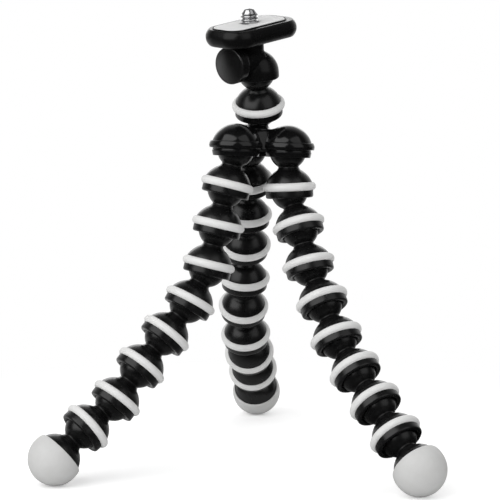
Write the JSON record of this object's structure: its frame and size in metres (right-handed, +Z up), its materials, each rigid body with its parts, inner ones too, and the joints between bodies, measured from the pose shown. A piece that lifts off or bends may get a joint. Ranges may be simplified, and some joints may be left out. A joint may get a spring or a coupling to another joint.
{
  "type": "flexible leg tripod",
  "caption": "Small camera tripod with flexible legs of ball-and-socket links, rubber grip rings and feet, and a clamped ball head with a padded plate and camera screw.",
  "frame": {"origin": "on the ground under the middle of the part's box", "axes": "+Z up from the feet, -Y towards the front, +X to the right seen from the front"},
  "size_m": [0.1436, 0.1662, 0.1637],
  "materials": {
    "black_plastic": "satin moulded",
    "pale_rubber": "matte",
    "pale_plastic": "moulded",
    "steel": "turned",
    "chrome_screw": "plated"
  },
  "bodies": {
    "hub": {"hub": "black_plastic"},
    "neck_link": {"neck_link": "black_plastic"},
    "neck_ring": {"neck_ring": "pale_rubber"},
    "head": {"head": "black_plastic", "top_pad": "pale_rubber", "camera_screw": "chrome_screw"},
    "clamp_stud": {"clamp_stud": "steel"},
    "clamp_knob": {"clamp_knob": "black_plastic"},
    "clamp_shoe": {"clamp_shoe": "pale_plastic"},
    "left_link_1": {"left_link_1": "black_plastic"},
    "left_ring_1": {"left_ring_1": "pale_rubber"},
    "left_link_2": {"left_link_2": "black_plastic"},
    "left_ring_2": {"left_ring_2": "pale_rubber"},
    "left_link_3": {"left_link_3": "black_plastic"},
    "left_ring_3": {"left_ring_3": "pale_rubber"},
    "left_link_4": {"left_link_4": "black_plastic"},
    "left_ring_4": {"left_ring_4": "pale_rubber"},
    "left_link_5": {"left_link_5": "black_plastic"},
    "left_ring_5": {"left_ring_5": "pale_rubber"},
    "left_link_6": {"left_link_6": "black_plastic"},
    "left_ring_6": {"left_ring_6": "pale_rubber"},
    "left_link_7": {"left_link_7": "black_plastic"},
    "left_ring_7": {"left_ring_7": "pale_rubber"},
    "left_link_8": {"left_link_8": "black_plastic"},
    "left_ring_8": {"left_ring_8": "pale_rubber"},
    "left_foot": {"left_foot": "pale_rubber"},
    "right_link_1": {"right_link_1": "black_plastic"},
    "right_ring_1": {"right_ring_1": "pale_rubber"},
    "right_link_2": {"right_link_2": "black_plastic"},
    "right_ring_2": {"right_ring_2": "pale_rubber"},
    "right_link_3": {"right_link_3": "black_plastic"},
    "right_ring_3": {"right_ring_3": "pale_rubber"},
    "right_link_4": {"right_link_4": "black_plastic"},
    "right_ring_4": {"right_ring_4": "pale_rubber"},
    "right_link_5": {"right_link_5": "black_plastic"},
    "right_ring_5": {"right_ring_5": "pale_rubber"},
    "right_link_6": {"right_link_6": "black_plastic"},
    "right_ring_6": {"right_ring_6": "pale_rubber"},
    "right_link_7": {"right_link_7": "black_plastic"},
    "right_ring_7": {"right_ring_7": "pale_rubber"},
    "right_link_8": {"right_link_8": "black_plastic"},
    "right_ring_8": {"right_ring_8": "pale_rubber"},
    "right_foot": {"right_foot": "pale_rubber"},
    "back_link_1": {"back_link_1": "black_plastic"},
    "back_ring_1": {"back_ring_1": "pale_rubber"},
    "back_link_2": {"back_link_2": "black_plastic"},
    "back_ring_2": {"back_ring_2": "pale_rubber"},
    "back_link_3": {"back_link_3": "black_plastic"},
    "back_ring_3": {"back_ring_3": "pale_rubber"},
    "back_link_4": {"back_link_4": "black_plastic"},
    "back_ring_4": {"back_ring_4": "pale_rubber"},
    "back_link_5": {"back_link_5": "black_plastic"},
    "back_ring_5": {"back_ring_5": "pale_rubber"},
    "back_link_6": {"back_link_6": "black_plastic"},
    "back_ring_6": {"back_ring_6": "pale_rubber"},
    "back_link_7": {"back_link_7": "black_plastic"},
    "back_ring_7": {"back_ring_7": "pale_rubber"},
    "back_link_8": {"back_link_8": "black_plastic"},
    "back_ring_8": {"back_ring_8": "pale_rubber"},
    "back_foot": {"back_foot": "pale_rubber"}
  },
  "joints": [
    {"name": "neck_swing", "type": "hinge", "parent": "hub", "child": "neck_link", "pos_m": [0.00907, -0.01158, 0.1277], "axis": [0.9795, -0.1998, -0.0258], "range_deg": [-57, 3]},
    {"name": "head_pan", "type": "hinge", "parent": "neck_link", "child": "neck_ring", "pos_m": [0.00829, -0.01709, 0.1411], "axis": [-0.0532, -0.3801, 0.9234], "range_deg": [-90, 90]},
    {"name": "head_tilt", "type": "hinge", "parent": "neck_ring", "child": "head", "pos_m": [0.00829, -0.01709, 0.1411], "axis": [-0.9953, 0.0951, -0.0182], "range_deg": [-45, 19]},
    {"name": "knob_turn", "type": "hinge", "parent": "clamp_stud", "child": "clamp_knob", "pos_m": [0.00814, -0.01785, 0.14573], "axis": [-0.6672, -0.7311, -0.143], "range_deg": [0, 270]},
    {"name": "stud_slide", "type": "slide", "parent": "head", "child": "clamp_stud", "axis": [-0.6672, -0.7311, -0.143], "range_m": [0, 0.000375]},
    {"name": "shoe_slide", "type": "slide", "parent": "head", "child": "clamp_shoe", "axis": [-0.6672, -0.7311, -0.143], "range_m": [0, 0.0003754]},
    {"name": "left_swing_1", "type": "hinge", "parent": "hub", "child": "left_link_1", "pos_m": [0.00085, -0.02075, 0.11392], "axis": [0.4226, -0.9063, 0.0021], "range_deg": [-23, 10]},
    {"name": "left_turn_1", "type": "hinge", "parent": "left_link_1", "child": "left_ring_1", "pos_m": [-0.00267, -0.02242, 0.09995], "axis": [-0.2429, -0.1155, -0.9632], "range_deg": [-90, 90]},
    {"name": "left_swing_2", "type": "hinge", "parent": "left_ring_1", "child": "left_link_2", "pos_m": [-0.00267, -0.02242, 0.09995], "axis": [0.4226, -0.9063, 0.0021], "range_deg": [-36, 34]},
    {"name": "left_turn_2", "type": "hinge", "parent": "left_link_2", "child": "left_ring_2", "pos_m": [-0.00597, -0.02399, 0.08591], "axis": [0.2276, 0.1084, 0.9677], "range_deg": [-90, 90]},
    {"name": "left_swing_3", "type": "hinge", "parent": "left_ring_2", "child": "left_link_3", "pos_m": [-0.00597, -0.02399, 0.08591], "axis": [0.4226, -0.9063, 0.0021], "range_deg": [-34, 36]},
    {"name": "left_turn_3", "type": "hinge", "parent": "left_link_3", "child": "left_ring_3", "pos_m": [-0.00949, -0.02567, 0.07194], "axis": [0.2429, 0.1155, 0.9632], "range_deg": [-90, 90]},
    {"name": "left_swing_4", "type": "hinge", "parent": "left_ring_3", "child": "left_link_4", "pos_m": [-0.00949, -0.02567, 0.07194], "axis": [-0.4226, 0.9063, -0.0021], "range_deg": [-51, 19]},
    {"name": "left_turn_4", "type": "hinge", "parent": "left_link_4", "child": "left_ring_4", "pos_m": [-0.01637, -0.02891, 0.05959], "axis": [-0.4741, -0.2231, -0.8517], "range_deg": [-90, 90]},
    {"name": "left_swing_5", "type": "hinge", "parent": "left_ring_4", "child": "left_link_5", "pos_m": [-0.01637, -0.02891, 0.05959], "axis": [0.4226, -0.9063, 0.0021], "range_deg": [-25, 45]},
    {"name": "left_turn_5", "type": "hinge", "parent": "left_link_5", "child": "left_ring_5", "pos_m": [-0.02509, -0.03299, 0.04874], "axis": [-0.6011, -0.282, -0.7478], "range_deg": [-90, 90]},
    {"name": "left_swing_6", "type": "hinge", "parent": "left_ring_5", "child": "left_link_6", "pos_m": [-0.02509, -0.03299, 0.04874], "axis": [-0.4695, 0.8829, -0.0015], "range_deg": [-36, 34]},
    {"name": "left_turn_6", "type": "hinge", "parent": "left_link_6", "child": "left_ring_6", "pos_m": [-0.03375, -0.03762, 0.03806], "axis": [0.5972, 0.3188, 0.736], "range_deg": [-90, 90]},
    {"name": "left_swing_7", "type": "hinge", "parent": "left_ring_6", "child": "left_link_7", "pos_m": [-0.03375, -0.03762, 0.03806], "axis": [0.4695, -0.8829, 0.0015], "range_deg": [-36, 34]},
    {"name": "left_turn_7", "type": "hinge", "parent": "left_link_7", "child": "left_ring_7", "pos_m": [-0.04225, -0.04216, 0.02721], "axis": [-0.5857, -0.3127, -0.7477], "range_deg": [-90, 90]},
    {"name": "left_swing_8", "type": "hinge", "parent": "left_ring_7", "child": "left_link_8", "pos_m": [-0.04225, -0.04216, 0.02721], "axis": [-0.4695, 0.8829, -0.0015], "range_deg": [-47, 23]},
    {"name": "left_turn_8", "type": "hinge", "parent": "left_link_8", "child": "left_ring_8", "pos_m": [-0.05255, -0.04765, 0.01861], "axis": [0.7103, 0.3787, 0.5933], "range_deg": [-90, 90]},
    {"name": "left_swing_9", "type": "hinge", "parent": "left_ring_8", "child": "left_foot", "pos_m": [-0.05255, -0.04765, 0.01861], "axis": [-0.4695, 0.8829, -0.0015], "range_deg": [-32, 38]},
    {"name": "right_swing_1", "type": "hinge", "parent": "hub", "child": "right_link_1", "pos_m": [0.01938, -0.01511, 0.11279], "axis": [-0.809, -0.5878, 0.0107], "range_deg": [-10, 33]},
    {"name": "right_turn_1", "type": "hinge", "parent": "right_link_1", "child": "right_ring_1", "pos_m": [0.01985, -0.01602, 0.09832], "axis": [-0.0324, 0.0627, 0.9975], "range_deg": [-90, 90]},
    {"name": "right_swing_2", "type": "hinge", "parent": "right_ring_1", "child": "right_link_2", "pos_m": [0.01985, -0.01602, 0.09832], "axis": [-0.809, -0.5878, 0.0107], "range_deg": [-56, 14]},
    {"name": "right_turn_2", "type": "hinge", "parent": "right_link_2", "child": "right_ring_2", "pos_m": [0.02334, -0.02106, 0.08517], "axis": [0.2406, -0.3476, -0.9062], "range_deg": [-90, 90]},
    {"name": "right_swing_3", "type": "hinge", "parent": "right_ring_2", "child": "right_link_3", "pos_m": [0.02334, -0.02106, 0.08517], "axis": [-0.809, -0.5878, 0.0107], "range_deg": [-34, 36]},
    {"name": "right_turn_3", "type": "hinge", "parent": "right_link_3", "child": "right_ring_3", "pos_m": [0.0267, -0.02592, 0.07192], "axis": [0.2312, -0.3348, -0.9135], "range_deg": [-90, 90]},
    {"name": "right_swing_4", "type": "hinge", "parent": "right_ring_3", "child": "right_link_4", "pos_m": [0.0267, -0.02592, 0.07192], "axis": [0.809, 0.5878, -0.0107], "range_deg": [-25, 45]},
    {"name": "right_turn_4", "type": "hinge", "parent": "right_link_4", "child": "right_ring_4", "pos_m": [0.03136, -0.03256, 0.0599], "axis": [0.3216, -0.4576, -0.829], "range_deg": [-90, 90]},
    {"name": "right_swing_5", "type": "hinge", "parent": "right_ring_4", "child": "right_link_5", "pos_m": [0.03136, -0.03256, 0.0599], "axis": [0.809, 0.5878, -0.0107], "range_deg": [-34, 36]},
    {"name": "right_turn_5", "type": "hinge", "parent": "right_link_5", "child": "right_ring_5", "pos_m": [0.03615, -0.03937, 0.04801], "axis": [0.3301, -0.4692, -0.8191], "range_deg": [-90, 90]},
    {"name": "right_swing_6", "type": "hinge", "parent": "right_ring_5", "child": "right_link_6", "pos_m": [0.03615, -0.03937, 0.04801], "axis": [-0.788, -0.6156, 0.0107], "range_deg": [-45, 25]},
    {"name": "right_turn_6", "type": "hinge", "parent": "right_link_6", "child": "right_ring_6", "pos_m": [0.04238, -0.04751, 0.03775], "axis": [0.4293, -0.5617, -0.7073], "range_deg": [-90, 90]},
    {"name": "right_swing_7", "type": "hinge", "parent": "right_ring_6", "child": "right_link_7", "pos_m": [0.04238, -0.04751, 0.03775], "axis": [-0.788, -0.6156, 0.0107], "range_deg": [-38, 32]},
    {"name": "right_turn_7", "type": "hinge", "parent": "right_link_7", "child": "right_ring_7", "pos_m": [0.04893, -0.05607, 0.02804], "axis": [0.4518, -0.5898, -0.6693], "range_deg": [-90, 90]},
    {"name": "right_swing_8", "type": "hinge", "parent": "right_ring_7", "child": "right_link_8", "pos_m": [0.04893, -0.05607, 0.02804], "axis": [0.788, 0.6156, -0.0107], "range_deg": [-35, 35]},
    {"name": "right_turn_8", "type": "hinge", "parent": "right_link_8", "child": "right_ring_8", "pos_m": [0.05548, -0.06463, 0.01833], "axis": [0.4518, -0.5898, -0.6693], "range_deg": [-90, 90]},
    {"name": "right_swing_9", "type": "hinge", "parent": "right_ring_8", "child": "right_foot", "pos_m": [0.05548, -0.06463, 0.01833], "axis": [0.788, 0.6156, -0.0107], "range_deg": [-31, 39]},
    {"name": "back_swing_1", "type": "hinge", "parent": "hub", "child": "back_link_1", "pos_m": [0.00519, -0.00189, 0.11245], "axis": [-0.9986, -0.0523, 0.0089], "range_deg": [-4, 26]},
    {"name": "back_turn_1", "type": "hinge", "parent": "back_link_1", "child": "back_ring_1", "pos_m": [0.00472, 0.00483, 0.09961], "axis": [0.0322, -0.4632, 0.8856], "range_deg": [-90, 90]},
    {"name": "back_swing_2", "type": "hinge", "parent": "back_ring_1", "child": "back_link_2", "pos_m": [0.00472, 0.00483, 0.09961], "axis": [0.9986, 0.0523, -0.0089], "range_deg": [-30, 40]},
    {"name": "back_turn_2", "type": "hinge", "parent": "back_link_2", "child": "back_ring_2", "pos_m": [0.00431, 0.0104, 0.08622], "axis": [0.0284, -0.3844, 0.9227], "range_deg": [-90, 90]},
    {"name": "back_swing_3", "type": "hinge", "parent": "back_ring_2", "child": "back_link_3", "pos_m": [0.00431, 0.0104, 0.08622], "axis": [0.9986, 0.0523, -0.0089], "range_deg": [-46, 24]},
    {"name": "back_turn_3", "type": "hinge", "parent": "back_link_3", "child": "back_ring_3", "pos_m": [0.00378, 0.01843, 0.07415], "axis": [-0.0364, 0.5532, -0.8323], "range_deg": [-90, 90]},
    {"name": "back_swing_4", "type": "hinge", "parent": "back_ring_3", "child": "back_link_4", "pos_m": [0.00378, 0.01843, 0.07415], "axis": [0.9986, 0.0523, -0.0089], "range_deg": [-23, 47]},
    {"name": "back_turn_4", "type": "hinge", "parent": "back_link_4", "child": "back_ring_4", "pos_m": [0.00338, 0.02377, 0.06067], "axis": [-0.0276, 0.3682, -0.9293], "range_deg": [-90, 90]},
    {"name": "back_swing_5", "type": "hinge", "parent": "back_ring_4", "child": "back_link_5", "pos_m": [0.00338, 0.02377, 0.06067], "axis": [0.9986, 0.0523, -0.0089], "range_deg": [-49, 21]},
    {"name": "back_turn_5", "type": "hinge", "parent": "back_link_5", "child": "back_ring_5", "pos_m": [0.00283, 0.03221, 0.04888], "axis": [-0.0377, 0.5819, -0.8124], "range_deg": [-90, 90]},
    {"name": "back_swing_6", "type": "hinge", "parent": "back_ring_5", "child": "back_link_6", "pos_m": [0.00283, 0.03221, 0.04888], "axis": [0.9925, -0.1219, -0.0078], "range_deg": [-33, 37]},
    {"name": "back_turn_6", "type": "hinge", "parent": "back_link_6", "child": "back_ring_6", "pos_m": [0.00372, 0.04018, 0.0368], "axis": [-0.061, -0.5498, 0.8331], "range_deg": [-90, 90]},
    {"name": "back_swing_7", "type": "hinge", "parent": "back_ring_6", "child": "back_link_7", "pos_m": [0.00372, 0.04018, 0.0368], "axis": [-0.9925, 0.1219, 0.0078], "range_deg": [-15, 55]},
    {"name": "back_turn_7", "type": "hinge", "parent": "back_link_7", "child": "back_ring_7", "pos_m": [0.00507, 0.05178, 0.02819], "axis": [0.0935, 0.7993, -0.5937], "range_deg": [-90, 90]},
    {"name": "back_swing_8", "type": "hinge", "parent": "back_ring_7", "child": "back_link_8", "pos_m": [0.00507, 0.05178, 0.02819], "axis": [-0.9925, 0.1219, 0.0078], "range_deg": [-36, 34]},
    {"name": "back_turn_8", "type": "hinge", "parent": "back_link_8", "child": "back_ring_8", "pos_m": [0.00641, 0.06322, 0.01937], "axis": [-0.0921, -0.7889, 0.6076], "range_deg": [-90, 90]},
    {"name": "back_swing_9", "type": "hinge", "parent": "back_ring_8", "child": "back_foot", "pos_m": [0.00641, 0.06322, 0.01937], "axis": [0.9925, -0.1219, -0.0078], "range_deg": [-29, 41]}
  ],
  "couplings": [
    {"joint": "knob_turn", "follows": "stud_slide", "rad_per_m": 12566},
    {"joint": "shoe_slide", "follows": "stud_slide", "ratio": 1}
  ]
}
